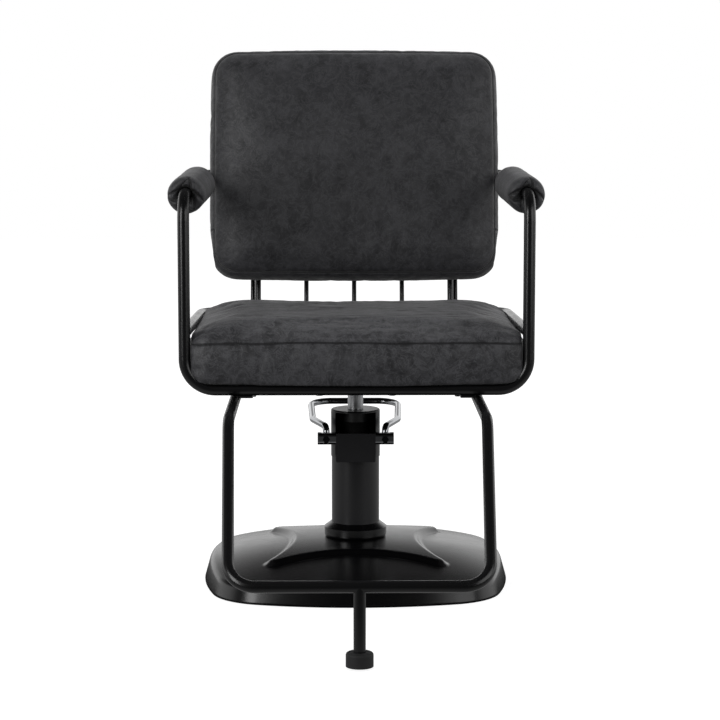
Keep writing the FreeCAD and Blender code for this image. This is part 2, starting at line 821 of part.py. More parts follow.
def base_flange(cover):
    """The ring that closes the joint between the star and the column, bevelled above and rounded below."""
    low_z = base_dome_height + star_rise - base_wall
    band = disc(flange_radius, low_z, flange_band_top_z)
    low_edges = [e for e in band.Edges if e.BoundBox.ZMax < low_z + running_gap]
    band = band.makeFillet(flange_round, low_edges)
    bevel = Part.makeCone(flange_radius, pump_tube_radius + base_wall / 2, flange_top_z - flange_band_top_z,
                          vector(0, 0, flange_band_top_z))
    hole = disc(pump_tube_radius, low_z - overrun, flange_top_z + overrun)
    dome = Part.makeSphere(base_dome_radius, vector(0, 0, base_dome_height + star_rise - base_dome_radius))
    return band.fuse(bevel).cut(hole).cut(dome).removeSplitter()


def pump_tube():
    return ring(pump_tube_radius, pump_tube_radius - pump_tube_wall, foot_top_z_inside, pump_head_bottom_z)


def window_cutter():
    """The space of the opening in the front of the head."""
    return block(vector(-window_half_width, -pump_head_radius - overrun, window_bottom_z),
                 vector(window_half_width, window_cut_y, pump_cap_bottom_z + overrun))


def pump_head():
    """The cast head on the tube, open at the front for the yoke, with two lugs for its pin."""
    spigot = pump_tube_radius - pump_tube_wall
    inner = pump_head_radius - pump_head_wall - head_spigot_gap
    head = disc(pump_head_radius, pump_head_bottom_z, pump_cap_bottom_z)
    head = head.fuse(disc(spigot, pump_head_bottom_z - head_spigot_length, pump_head_bottom_z))
    head = head.cut(disc(inner, pump_head_bottom_z - head_spigot_length - overrun, pump_cap_bottom_z + overrun))
    head = head.cut(window_cutter())
    for sx in (-1, 1):
        inner_x = sx * head_lug_inner_x
        outer_x = sx * head_lug_outer_x
        low_x, high_x = min(inner_x, outer_x), max(inner_x, outer_x)
        web = block(vector(low_x, pivot_y, pump_head_bottom_z), vector(high_x, head_lug_rear_y, pivot_z))
        knuckle = Part.makeCylinder(head_lug_radius, high_x - low_x, vector(low_x, pivot_y, pivot_z), vector(1, 0, 0))
        head = head.fuse(web).fuse(knuckle)
    pin = Part.makeCylinder(pivot_pin_radius, pivot_pin_half_length * 2,
                            vector(-pivot_pin_half_length, pivot_y, pivot_z), vector(1, 0, 0))
    return head.cut(pin).removeSplitter()


def pivot_pin():
    return Part.makeCylinder(pivot_pin_radius, pivot_pin_half_length * 2,
                             vector(-pivot_pin_half_length, pivot_y, pivot_z), vector(1, 0, 0))


def pump_cap():
    """The cap on the head, with a round shoulder and a hole for the rod."""
    cap = disc(pump_head_radius, pump_cap_bottom_z, pump_cap_top_z)
    top_edges = [e for e in cap.Edges if e.BoundBox.ZMin > pump_cap_top_z - running_gap]
    cap = cap.makeFillet(pump_cap_round, top_edges)
    return cap.cut(disc(rod_radius + soft_gap, pump_cap_bottom_z - overrun, pump_cap_top_z + overrun))


def cylinder():
    return ring(cylinder_radius, cylinder_bore, cylinder_bottom_z, cylinder_top_z)


bush_top_z = cylinder_top_z
wiper_bottom_z = cylinder_top_z
wiper_top_z = pump_cap_bottom_z


def rod_bush():
    """The bronze guide in the top of the cylinder."""
    return ring(cylinder_bore, rod_radius + running_gap, bush_top_z - bush_length, bush_top_z)


def rod_wiper():
    """The seal housing between the cylinder and the cap, with the wiper's lip."""
    return ring(cylinder_radius, rod_radius + running_gap, wiper_bottom_z, wiper_top_z)


def piston_rod():
    return disc(rod_radius, cylinder_bottom_z + piston_bottom_gap, rod_top_z)


def piston():
    """The piston on the rod's lower end, grooved for its two seals."""
    low_z = cylinder_bottom_z + piston_bottom_gap
    high_z = low_z + piston_length
    body = ring(cylinder_bore - running_gap, rod_radius, low_z, high_z)
    for groove_z in piston_groove_heights():
        body = body.cut(ring(cylinder_bore + overrun, cylinder_bore - piston_seal_depth, groove_z,
                             groove_z + piston_seal_width))
    return body


def piston_groove_heights():
    low_z = cylinder_bottom_z + piston_bottom_gap
    step = (piston_length - 2 * piston_seal_width) / 3
    return [low_z + step, low_z + 2 * step + piston_seal_width]


def piston_seals():
    return [ring(cylinder_bore - running_gap, cylinder_bore - piston_seal_depth, z, z + piston_seal_width)
            for z in piston_groove_heights()]


def swivel_bush():
    """The plain bearing sleeve in the socket."""
    return ring(rod_radius + running_gap + swivel_bush_wall, rod_radius + running_gap, socket_bottom_z, rod_top_z)


def thrust_washer():
    """The bronze disc between the rod's top and the socket's roof."""
    low_z = rod_top_z + running_gap
    return disc(rod_radius + running_gap + swivel_bush_wall, low_z, low_z + thrust_washer_thickness)


def lever_yoke():
    """The rocking plate in front of the window, with two ears on the pin and the finger behind."""
    plate = block(vector(-yoke_plate_half_width, yoke_plate_rear_y - yoke_plate_thickness, yoke_plate_bottom_z),
                  vector(yoke_plate_half_width, yoke_plate_rear_y, yoke_plate_top_z))
    corners = [e for e in plate.Edges
               if abs(e.tangentAt(e.FirstParameter).y) > math.cos(math.pi / 4) and e.BoundBox.ZMax < pivot_z]
    plate = plate.makeFillet(yoke_plate_corner, corners)
    for sx in (-1, 1):
        ends = sorted((sx * yoke_ear_inner_x, sx * yoke_ear_outer_x))
        width = ends[1] - ends[0]
        ear = Part.makeCylinder(yoke_ear_radius, width, vector(ends[0], pivot_y, pivot_z), vector(1, 0, 0))
        web = block(vector(ends[0], yoke_plate_rear_y, pivot_z - yoke_ear_radius),
                    vector(ends[1], pivot_y, pivot_z + yoke_ear_radius))
        plate = plate.fuse(ear).fuse(web)
    finger = block(vector(-finger_half_width, yoke_plate_rear_y, pivot_z - finger_radius),
                   vector(finger_half_width, plunger_y, pivot_z + finger_radius))
    tip = Part.makeCylinder(finger_radius, finger_half_width * 2, vector(-finger_half_width, plunger_y, pivot_z),
                            vector(1, 0, 0))
    hole = Part.makeCylinder(pivot_pin_radius + running_gap, pivot_pin_half_length * 2 + overrun * 2,
                             vector(-pivot_pin_half_length - overrun, pivot_y, pivot_z), vector(1, 0, 0))
    return plate.fuse(finger).fuse(tip).cut(hole).removeSplitter()


def lever_points():
    foot = vector(lever_grip_x, lever_grip_y, clamp_top_z - lever_grip_depth)
    top = vector(lever_grip_x, lever_grip_y, lever_z)
    shoulder = vector(lever_shoulder_half_width, lever_shoulder_y, lever_z)
    rear = vector(lever_rear_half_width, lever_rear_y, lever_rear_z)
    return [foot, top, shoulder, rear, left(rear), left(shoulder), left(top), left(foot)]


def lever_loop():
    """The chromed foot lever: one bent bar from clamp to clamp, round behind the column."""
    bends = [lever_grip_bend, lever_shoulder_bend, lever_rear_bend, lever_rear_bend, lever_shoulder_bend,
             lever_grip_bend]
    return bent_rod(lever_points(), bends, lever_radius)


def clamp_screws():
    screws = []
    for sx in (-1, 1):
        place = vector(sx * lever_grip_x, clamp_front_y, (clamp_bottom_z + clamp_top_z) / 2)
        screws.append(bolt(place, vector(0, -1, 0), clamp_screw_radius,
                           lever_grip_y - lever_radius - clamp_front_y,
                           clamp_screw_head_radius, clamp_screw_head_height))
    return screws


def lever_clamp(screws):
    """The right-hand block that grips one end of the lever."""
    piece = block(vector(yoke_plate_half_width, clamp_front_y, clamp_bottom_z),
                  vector(clamp_outer_x, clamp_rear_y, clamp_top_z))
    front_edges = [e for e in piece.Edges
                   if e.BoundBox.YMax < clamp_front_y + clamp_round and e.BoundBox.XLength > clamp_round]
    piece = piece.makeFillet(clamp_round, front_edges)
    grip = disc(lever_radius, clamp_top_z - lever_grip_depth, clamp_top_z + overrun, lever_grip_x, lever_grip_y)
    return piece.cut(grip).cut(screws)


plunger_head_top_z = pivot_z - finger_radius - plunger_lead
plunger_head_bottom_z = plunger_head_top_z - plunger_head_thickness


def pump_plunger():
    head = disc(plunger_head_radius, plunger_head_bottom_z, plunger_head_top_z, 0, plunger_y)
    stem = disc(plunger_radius, plunger_head_bottom_z - plunger_length, plunger_head_bottom_z, 0, plunger_y)
    return head.fuse(stem)


def plunger_barrel():
    return ring(barrel_radius, plunger_radius + running_gap, barrel_top_z - barrel_length, barrel_top_z,
                0, plunger_y)


def barrel_bracket():
    """The ring web that holds the little barrel beside the cylinder."""
    inner = pump_tube_radius - pump_tube_wall
    mid_z = barrel_top_z - barrel_length / 2
    web = ring(inner, cylinder_radius, mid_z - barrel_bracket_half, mid_z + barrel_bracket_half)
    return web.cut(disc(barrel_radius, mid_z - barrel_length, mid_z + barrel_length, 0, plunger_y))


def return_spring():
    """A round-wire coil under the plunger's head."""
    low_z = barrel_top_z + spring_wire_radius
    high_z = plunger_head_bottom_z - spring_wire_radius
    steps = spring_turns * 4
    points = []
    for i in range(2 * steps + 1):
        turn = i * math.pi / 4
        points.append(vector(spring_coil_radius * math.cos(turn), plunger_y + spring_coil_radius * math.sin(turn),
                             low_z + (high_z - low_z) * i / (2 * steps)))
    arcs = [Part.Arc(points[2 * i], points[2 * i + 1], points[2 * i + 2]).toShape() for i in range(steps)]
    path = Part.Wire(arcs)
    turn_points = len(points) // spring_turns
    apart = [(a - b).Length for i, a in enumerate(points) for b in points[i + turn_points // 2:]]
    print(f"return_spring's least gap to itself: {min(apart) - 2 * spring_wire_radius:.2f} mm")
    first = arcs[0]
    profile = Part.Wire([Part.makeCircle(spring_wire_radius, points[0], first.tangentAt(first.FirstParameter))])
    return path.makePipeShell([profile], True, False)


def build_frame():
    """Everything that turns with the seat, from the tubes to the cushions."""
    front_solid = front_frame(frame_radius)
    seat_hoop_solid = seat_hoop(frame_radius)
    arm_hoop_solid = arm_hoop(frame_radius)
    hoops = seat_hoop_solid.fuse(arm_hoop_solid)
    write("front_frame", front_solid.cut(front_frame(frame_radius - frame_wall)))
    write("arm_hoop", arm_hoop_solid.cut(arm_hoop(frame_radius - frame_wall)))
    hollow_hoop = seat_hoop_solid.cut(seat_hoop(frame_radius - frame_wall))
    write("seat_hoop", hollow_hoop.cut(front_frame(frame_radius + running_gap)))
    write("back_spindles", spindles(hoops))
    upright = back_upright(hoops)
    write("back_upright_right", upright)
    write("back_upright_left", mirrored(upright))
    screws = seat_board_screws()
    bearer = seat_bearer().cut(screws + footrest_clamp_bolts())
    write("seat_bearer_right", bearer)
    write("seat_bearer_left", mirrored(bearer))
    bolts = mount_bolts()
    write("mount_bolts", bolts)
    write("mount_plate", mount_plate(bolts))
    write("cross_bar_front", cross_bar(-cross_bar_y).cut(bolts))
    write("cross_bar_rear", cross_bar(cross_bar_y).cut(bolts))
    write("swivel_socket", swivel_socket())
    write("swivel_bush", swivel_bush())
    write("thrust_washer", thrust_washer())
    write("seat_board_screws", screws)
    write("seat_board", seat_board(screws, [upright, mirrored(upright)]))
    write("seat_cushion", seat_cushion())
    write("seat_foam", seat_foam())
    board_screws = back_screws()
    write("back_screws", board_screws)
    write("back_brackets", back_brackets(board_screws))
    write("back_board", back_board(board_screws))
    write("back_cushion", back_cushion())
    write("back_foam", back_foam())
    pad = arm_pad()
    foam = arm_foam()
    write("arm_pad_right", pad)
    write("arm_pad_left", mirrored(pad))
    write("arm_foam_right", foam)
    write("arm_foam_left", mirrored(foam))


def build_footrest():
    rest_solid = footrest(foot_tube_radius)
    write("footrest_loop", rest_solid.cut(footrest(foot_tube_radius - foot_tube_wall)))
    bolts = footrest_clamp_bolts()
    write("footrest_clamp_bolts", bolts)
    write("footrest_clamps", [piece.cut(bolts) for piece in footrest_clamps()])
    write("antitip_leg", antitip_leg())
    write("leg_foot", leg_foot())


def build_base():
    cover = base_cover()
    write("base_cover", cover)
    bolts = foot_bolts()
    write("pump_foot_bolts", bolts)
    write("base_plate", base_plate(bolts))
    write("floor_mat", floor_mat())
    write("pump_foot", pump_foot(bolts))
    write("base_flange", base_flange(cover))
    write("pump_tube", pump_tube())
    write("pump_head", pump_head())
    write("pump_cap", pump_cap())
    write("pivot_pin", pivot_pin())
    write("cylinder", cylinder())
    write("rod_bush", rod_bush())
    write("rod_wiper", rod_wiper())
    write("plunger_barrel", plunger_barrel())
    write("barrel_bracket", barrel_bracket())


def build_moving_column():
    write("piston_rod", piston_rod())
    write("piston", piston())
    write("piston_seals", piston_seals())
    write("lever_yoke", lever_yoke())
    screws = clamp_screws()
    clamp = lever_clamp(screws[1])
    write("lever_clamp_right", clamp)
    write("lever_clamp_left", mirrored(clamp))
    write("clamp_screws", screws)
    write("lever_loop", lever_loop())
    write("pump_plunger", pump_plunger())
    write("return_spring", return_spring())


build_frame()
build_footrest()
build_base()
build_moving_column()
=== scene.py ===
import bpy
import bmesh
import math
from mathutils import Matrix, Vector, noise


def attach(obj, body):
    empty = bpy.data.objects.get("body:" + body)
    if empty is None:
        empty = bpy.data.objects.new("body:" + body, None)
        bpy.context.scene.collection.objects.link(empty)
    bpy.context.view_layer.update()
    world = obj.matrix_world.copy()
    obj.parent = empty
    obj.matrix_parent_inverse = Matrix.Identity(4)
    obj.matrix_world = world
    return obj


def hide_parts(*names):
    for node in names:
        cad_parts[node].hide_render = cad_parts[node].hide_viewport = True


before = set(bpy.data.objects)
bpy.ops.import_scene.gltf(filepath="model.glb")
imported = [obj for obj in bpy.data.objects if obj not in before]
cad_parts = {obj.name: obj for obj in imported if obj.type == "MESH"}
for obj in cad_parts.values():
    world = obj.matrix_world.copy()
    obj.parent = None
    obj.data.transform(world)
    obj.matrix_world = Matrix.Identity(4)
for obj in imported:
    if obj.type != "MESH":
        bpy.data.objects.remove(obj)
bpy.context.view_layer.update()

# The camera. It stands nearly four metres in front of the chair at chest height, a few
# centimetres to one side, and looks slightly down, with a long lens.
camera = bpy.data.objects.new("camera", bpy.data.cameras.new("camera"))
camera.data.lens = 109.75
camera.data.sensor_width = 36
camera.location = (-0.038, -3.959, 0.885)
camera.rotation_euler = (math.radians(82.95), 0, math.radians(-0.67))
bpy.context.scene.collection.objects.link(camera)
bpy.context.scene.camera = camera
bpy.context.scene.view_settings.view_transform = "Standard"


# The studio. A white sweep stands behind the chair, and the room is dark on the camera's side.
# Two soft boxes stand left and right of the camera, and a wide one hangs above and behind the
# chair, where it lights what faces up and shows in no mirror.
def add(tree, kind, inputs={}, **settings):
    """Adds a node, sets it, and gives each of its inputs a value or another node's output.

    A Mix node has sockets of the same name, so they go by number: 0 is the share, 2 and 3 are
    the two numbers, and 6 and 7 are the two colours.
    """
    node = tree.nodes.new("ShaderNode" + kind)
    for name, value in settings.items():
        setattr(node, name, value)
    for socket, value in inputs.items():
        if isinstance(value, bpy.types.NodeSocket):
            tree.links.new(value, node.inputs[socket])
        else:
            node.inputs[socket].default_value = value
    return node


def linear(colour):
    """An sRGB hex colour as the linear colour that a shader takes."""
    shares = [int(colour[i:i + 2], 16) / 255 for i in (1, 3, 5)]
    return [s / 12.92 if s <= 0.04045 else ((s + 0.055) / 1.055) ** 2.4 for s in shares] + [1]


# What the sweep gives to matt surfaces, and what mirrors see of it: its foot, its top, and the
# dark of the room on the camera's side
sweep_ambient = 0.3
sweep_foot = 1.15
sweep_top = 0.06
sweep_dark_side = 0.02
studio = bpy.data.worlds.new("studio")
bpy.context.scene.world = studio
studio.use_nodes = True
tree = studio.node_tree
tree.nodes.clear()
ray = add(tree, "LightPath")
look = add(tree, "SeparateXYZ", {0: add(tree, "TexCoord").outputs["Generated"]})
# In mirrors a dark flag hangs lower over the middle of the sweep than over its sides
aside = add(tree, "Math", {0: look.outputs["X"]}, operation="ABSOLUTE")
flag = add(tree, "MapRange", {"Value": aside.outputs[0], "From Min": 0.08, "From Max": 0.24,
                              "To Min": 0.17, "To Max": 0.0}, interpolation_type="SMOOTHSTEP")
up = add(tree, "Math", {0: look.outputs["Z"], 1: flag.outputs[0]}, operation="ADD")
height = add(tree, "MapRange", {"Value": up.outputs[0], "From Min": 0.54, "From Max": 0.3,
                                "To Min": sweep_top, "To Max": sweep_foot},
             interpolation_type="SMOOTHSTEP")
behind = add(tree, "MapRange", {"Value": look.outputs["Y"], "From Min": -0.4, "From Max": 0.1,
                                "To Max": height.outputs[0]}, interpolation_type="SMOOTHSTEP")
mirrored_sweep = add(tree, "Math", {0: behind.outputs[0], 1: sweep_dark_side}, operation="MAXIMUM")
unseen = add(tree, "Mix", {0: ray.outputs["Is Glossy Ray"], 2: sweep_ambient,
                           3: mirrored_sweep.outputs[0]})
seen = add(tree, "Math", {0: ray.outputs["Is Camera Ray"], 1: ray.outputs["Is Transmission Ray"]},
           operation="MAXIMUM")
level = add(tree, "Mix", {0: seen.outputs[0], 2: unseen.outputs[0], 3: 1.0})
backdrop = add(tree, "Background", {"Color": linear("#ffffff"), "Strength": level.outputs[0]})
add(tree, "OutputWorld", {"Surface": backdrop.outputs[0]})

chair_middle = Vector((0, 0, 0.5))
for name, place, width, tall, power, mirrored in (
        ("soft_box_left", (-1.85, -1.95, 1.3), 0.9, 2.0, 35, True),
        ("soft_box_right", (2.0, -1.7, 1.3), 1.9, 2.0, 21, True),
        ("soft_box_above", (0, 1.1, 2.6), 2.4, 1.6, 40, False)):
    lamp = bpy.data.lights.new(name, "AREA")
    lamp.shape = "RECTANGLE"
    lamp.size = width
    lamp.size_y = tall
    lamp.energy = power
    soft_box = bpy.data.objects.new(name, lamp)
    aim = (chair_middle - Vector(place)).to_track_quat("-Z", "Y").to_matrix().to_4x4()
    soft_box.matrix_world = Matrix.Translation(place) @ aim
    soft_box.visible_camera = False
    soft_box.visible_glossy = mirrored
    bpy.context.scene.collection.objects.link(soft_box)


# The floor is a sheet of matt white board. It shows white with the chair's soft shadow. In
# mirrors it glows grey, with a painted shadow close to the column, and dark far out in front.
def object_from(bm, name):
    """Ends a bmesh as a smooth-shaded object."""
    mesh = bpy.data.meshes.new(name)
    bm.to_mesh(mesh)
    bm.free()
    mesh.shade_smooth()
    made = bpy.data.objects.new(name, mesh)
    bpy.context.scene.collection.objects.link(made)
    return made


floor_half_side = 9
bm = bmesh.new()
bmesh.ops.create_grid(bm, x_segments=1, y_segments=1, size=floor_half_side)
floor = object_from(bm, "floor")
board = bpy.data.materials.new("matt_white_board")
board.use_nodes = True
tree = board.node_tree
tree.nodes.clear()
ray = add(tree, "LightPath")
spot = add(tree, "TexCoord").outputs["Object"]
place = add(tree, "SeparateXYZ", {0: spot})
out = add(tree, "VectorMath", {0: spot}, operation="LENGTH")
# In mirrors the glow fades out within half a metre of the column: a painted shadow of the chair
around = add(tree, "MapRange", {"Value": out.outputs["Value"], "From Min": 0.25, "From Max": 0.5,
                                "To Max": 0.35}, interpolation_type="SMOOTHSTEP")
before = add(tree, "MapRange", {"Value": place.outputs["Y"], "From Min": -1.1, "From Max": -0.6,
                                "To Min": 0.1}, interpolation_type="SMOOTHSTEP")
bright = add(tree, "Math", {0: around.outputs[0], 1: before.outputs[0]}, operation="MULTIPLY")
mirrored_floor = add(tree, "Math", {0: bright.outputs[0], 1: ray.outputs["Is Glossy Ray"]},
                     operation="MULTIPLY")
white = add(tree, "MapRange", {"Value": out.outputs["Value"], "From Min": 0.8, "From Max": 2.5,
                               "To Min": 0.86}, interpolation_type="SMOOTHSTEP")
seen = add(tree, "Math", {0: ray.outputs["Is Camera Ray"], 1: ray.outputs["Is Transmission Ray"]},
           operation="MAXIMUM")
lit = add(tree, "Mix", {0: seen.outputs[0], 2: mirrored_floor.outputs[0], 3: white.outputs[0]})
glow = add(tree, "Emission", {"Color": linear("#ffffff"), "Strength": lit.outputs[0]})
tone = add(tree, "Mix", {0: seen.outputs[0], 6: linear("#303030"), 7: linear("#9a9a9a")},
           data_type="RGBA")
shade = add(tree, "BsdfDiffuse", {"Color": tone.outputs[2]})
sheet = add(tree, "AddShader", {0: glow.outputs[0], 1: shade.outputs[0]})
add(tree, "OutputMaterial", {"Surface": sheet.outputs[0]})
floor.data.materials.append(board)


# The anti-slip mat and the heavy plate under the base. The mat is a sheet of moulded rubber,
# and the plate is hot-rolled steel, cut by flame and left with its blue-grey scale.
def start_finish(name, **sockets):
    """A new material: its tree, its shader with its constant sockets, and object coordinates."""
    material = bpy.data.materials.new(name)
    material.use_nodes = True
    tree = material.node_tree
    tree.nodes.clear()
    constants = {key.replace("_", " "): value for key, value in sockets.items()}
    shader = add(tree, "BsdfPrincipled", constants)
    add(tree, "OutputMaterial", {"Surface": shader.outputs[0]})
    return material, tree, shader, add(tree, "TexCoord").outputs["Object"]


def end_finish(tree, shader, colour, gloss, relief):
    """Leads a finish's colour, roughness and relief into its shader."""
    tree.links.new(colour.outputs[2], shader.inputs["Base Color"])
    tree.links.new(gloss.outputs[0], shader.inputs["Roughness"])
    tree.links.new(relief.outputs[0], shader.inputs["Normal"])


def clouded_finish(name, dark, pale, cloud_mm, rough, rough_change, grain_mm, grain_depth_mm,
                   **sockets):
    """A finish with soft clouds of tone and gloss, and a fine grain that stands up from it."""
    material, tree, shader, place = start_finish(name, **sockets)
    cloud = add(tree, "TexNoise", {"Vector": place, "Scale": 1000 / cloud_mm, "Detail": 4.0,
                                   "Roughness": 0.6})
    tone = add(tree, "MapRange", {"Value": cloud.outputs["Fac"], "From Min": 0.3, "From Max": 0.7})
    colour = add(tree, "Mix", {0: tone.outputs[0], 6: linear(dark), 7: linear(pale)},
                 data_type="RGBA")
    gloss = add(tree, "MapRange", {"Value": cloud.outputs["Fac"], "From Min": 0.3, "From Max": 0.7,
                                   "To Min": rough + rough_change, "To Max": rough - rough_change})
    grain = add(tree, "TexNoise", {"Vector": place, "Scale": 1000 / grain_mm, "Detail": 2.0})
    relief = add(tree, "Bump", {"Height": grain.outputs["Fac"], "Strength": 1.0,
                                "Distance": grain_depth_mm / 1000})
    end_finish(tree, shader, colour, gloss, relief)
    return material


def give(material, *names):
    """Gives a finish to pieces that keep the solid's own shape."""
    for name in names:
        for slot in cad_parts[name].material_slots:
            slot.material = material


# Black rubber is dead matt, with the fine pebble of its mould.
moulded_rubber = clouded_finish("moulded_rubber", "#141415", "#1c1c1d", cloud_mm=40, rough=0.72,
                                rough_change=0.06, grain_mm=0.8, grain_depth_mm=0.05)
give(moulded_rubber, "floor_mat")
# Mill scale is a dull blue-grey metal with broad smoky clouds.
hot_rolled_steel = clouded_finish("hot_rolled_steel", "#3a3d42", "#55585d", cloud_mm=30, rough=0.55,
                                  rough_change=0.1, grain_mm=1.2, grain_depth_mm=0.03, Metallic=1.0)
give(hot_rolled_steel, "base_plate")

# The base cover: sheet steel, deep drawn in one press with a shallow dome, a sloping rim and a
# raised four-armed star, then sprayed in satin black. It sits over the plate, and the column
# stands in its hole.

# Its sizes, in millimetres
base_corner = 112.0
base_corner_centre = 143.5
base_bow = math.radians(15.5)
base_bow_radius = 648.9
base_bow_centre = 373.9
rim_foot = 1.0
rim_slope = 22 / 79
rim_bend = 7.5
dome_radius = 1400.0
dome_top = 64.3
star_rise = 9.0
star_tip = 143.0
star_tip_radius = 13.0
star_side_centre = 367.5
star_side_radius = 253.5
star_slope = 14.0
star_slope_outside = 8.0
column_hole = 43.8
cover_sheet = 2.5


def ramp(distance, length):
    """Rises from 0 to 1 as the distance goes from 0 to the length."""
    return min(max(distance / length, 0), 1)


def base_reach(turn, inset):
    """How far the base reaches in one direction, when its outline is drawn in by the inset."""
    along = max(abs(math.cos(turn)), abs(math.sin(turn)))
    across = min(abs(math.cos(turn)), abs(math.sin(turn)))
    bow = math.sqrt((base_bow_radius - inset) ** 2 - (base_bow_centre * across) ** 2)
    side = bow - base_bow_centre * along
    if side * across < math.tan(base_bow) * (side * along + base_bow_centre):
        return side
    mid = base_corner_centre * (along + across)
    return mid + math.sqrt(mid ** 2 - 2 * base_corner_centre ** 2 + (base_corner - inset) ** 2)


def star_lift(x, y):
    """The height that the pressed star adds to the dome at one place."""
    x, y = abs(x), abs(y)
    past_x, past_y = x - star_tip, y - star_tip
    gap = star_side_centre - star_tip
    if gap * past_y + star_tip * past_x > 0 and gap * past_x + star_tip * past_y > 0:
        inside = star_tip_radius - math.hypot(past_x, past_y)
    else:
        from_centres = math.hypot(x - star_side_centre, y), math.hypot(x, y - star_side_centre)
        inside = min(from_centres) - star_side_radius
    share = ramp(inside + star_slope_outside, star_slope)
    return star_rise * share * share * (3 - 2 * share)


def skin_height(turn, reach):
    """The height of the domed top at one place, with the star on it."""
    x, y = reach * math.cos(turn), reach * math.sin(turn)
    return dome_top - dome_radius + math.sqrt(dome_radius ** 2 - reach * reach) + star_lift(x, y)


def rim_inset(z):
    """How far the sloping rim has drawn the outline in at one height."""
    return (z - rim_foot) * rim_slope


def skin_point(turn, rim_share, bend_share, top_share):
    """A point of the cover, up the rim, round its bend and in over the top, in metres."""
    # The edge is where the rim would meet the dome. It starts from a guess and soon settles.
    edge = 35.0
    for _ in range(5):
        edge = skin_height(turn, base_reach(turn, rim_inset(edge)))
    top_inset = rim_inset(edge) + rim_bend
    top_reach = base_reach(turn, top_inset)
    if top_share > 0:
        reach = top_reach + (column_hole - top_reach) * top_share
        z = skin_height(turn, reach)
    else:
        bend_foot = edge - rim_bend
        z = rim_foot + (bend_foot - rim_foot) * rim_share
        a, b, c = (1 - bend_share) ** 2, 2 * bend_share * (1 - bend_share), bend_share ** 2
        z = z * a + edge * b + skin_height(turn, top_reach) * c
        inset = rim_inset(z)
        if bend_share > 0:
            inset = rim_inset(bend_foot) * a + rim_inset(edge) * b + top_inset * c
        reach = base_reach(turn, inset)
    return Vector((reach * math.cos(turn), reach * math.sin(turn), z)) / 1000


steps_round = 320
rim_steps, bend_steps, top_steps = 6, 8, 72
bm = bmesh.new()
bmesh.ops.create_circle(bm, segments=steps_round, radius=1)
for v in bm.verts:
    v.co = skin_point(math.atan2(v.co.y, v.co.x), 0, 0, 0)
stations = [(i / rim_steps, 0, 0) for i in range(1, rim_steps + 1)]
stations += [(1, i / bend_steps, 0) for i in range(1, bend_steps + 1)]
stations += [(1, 1, i / top_steps) for i in range(1, top_steps + 1)]
edges = bm.edges[:]
for station in stations:
    grown = bmesh.ops.extrude_edge_only(bm, edges=edges)["geom"]
    edges = [e for e in grown if isinstance(e, bmesh.types.BMEdge) and e.is_boundary]
    for v in {v for e in edges for v in e.verts}:
        v.co = skin_point(math.atan2(v.co.y, v.co.x), *station)
bmesh.ops.recalc_face_normals(bm, faces=bm.faces)
if sum(f.normal.z * f.calc_area() for f in bm.faces) < 0:
    bmesh.ops.reverse_faces(bm, faces=bm.faces)
base_cover = object_from(bm, "base_pressing")
sheet_steel = base_cover.modifiers.new("sheet", "SOLIDIFY")
sheet_steel.thickness = cover_sheet / 1000
sheet_steel.offset = -1
# Satin black enamel over steel: even, with the faint orange peel that a spray gun leaves.
satin_enamel = clouded_finish("satin_black_enamel", "#040405", "#070708", cloud_mm=90, rough=0.24,
                              rough_change=0.03, grain_mm=2.2, grain_depth_mm=0.012)
base_cover.data.materials.append(satin_enamel)
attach(base_cover, "base")
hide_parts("base_cover")

# The column: a cast foot bolted to the plate, a drawn steel tube, a cast head with a window, its
# cap, and the bevelled ring at its foot, which matches the base. What shows of it is sprayed
# black. The cylinder and the small pump stand inside.

# Baked black enamel is a little greyer and duller than the base's, with a softer orange peel.
column_enamel = clouded_finish("column_black_enamel", "#171719", "#1c1c1e", cloud_mm=70, rough=0.3,
                               rough_change=0.03, grain_mm=2.6, grain_depth_mm=0.006)
give(column_enamel, "pump_tube", "pump_head", "pump_cap")
give(satin_enamel, "base_flange")
# Cast iron is dull and dark, with the coarse skin of its sand mould.
cast_iron = clouded_finish("sand_cast_iron", "#2b2c2e", "#3c3d40", cloud_mm=18, rough=0.62,
                           rough_change=0.08, grain_mm=1.0, grain_depth_mm=0.12, Metallic=1.0)
give(cast_iron, "pump_foot", "barrel_bracket", "plunger_barrel")
# A phosphate coat is a sooty black that hardly shines.
phosphated_steel = clouded_finish("black_phosphated_steel", "#040404", "#070707", cloud_mm=25,
                                  rough=0.8, rough_change=0.05, grain_mm=1.0, grain_depth_mm=0.02,
                                  Specular_IOR_Level=0.2)
give(phosphated_steel, "cylinder")
# Steel blackened hot in oil keeps a soft dark shine.
blackened_steel = clouded_finish("blackened_steel", "#17181a", "#26282b", cloud_mm=9, rough=0.42,
                                 rough_change=0.08, grain_mm=0.6, grain_depth_mm=0.01, Metallic=1.0)
give(blackened_steel, "pump_foot_bolts", "pivot_pin")
# Bearing bronze is a warm brown metal, turned smooth.
bearing_bronze = clouded_finish("bearing_bronze", "#8a5f2c", "#b0803f", cloud_mm=12, rough=0.38,
                                rough_change=0.08, grain_mm=0.7, grain_depth_mm=0.01, Metallic=1.0)
give(bearing_bronze, "rod_bush")
# Seal rubber is smoother than the mat's, with an oily half shine.
seal_rubber = clouded_finish("nitrile_seal", "#0f0f10", "#171718", cloud_mm=15, rough=0.55,
                             rough_change=0.05, grain_mm=0.5, grain_depth_mm=0.01)
give(seal_rubber, "rod_wiper")

# The lift rod with the piston below it, and the small pump's plunger with its spring. The rod is
# ground and polished round its length, so that it slides in its bush.

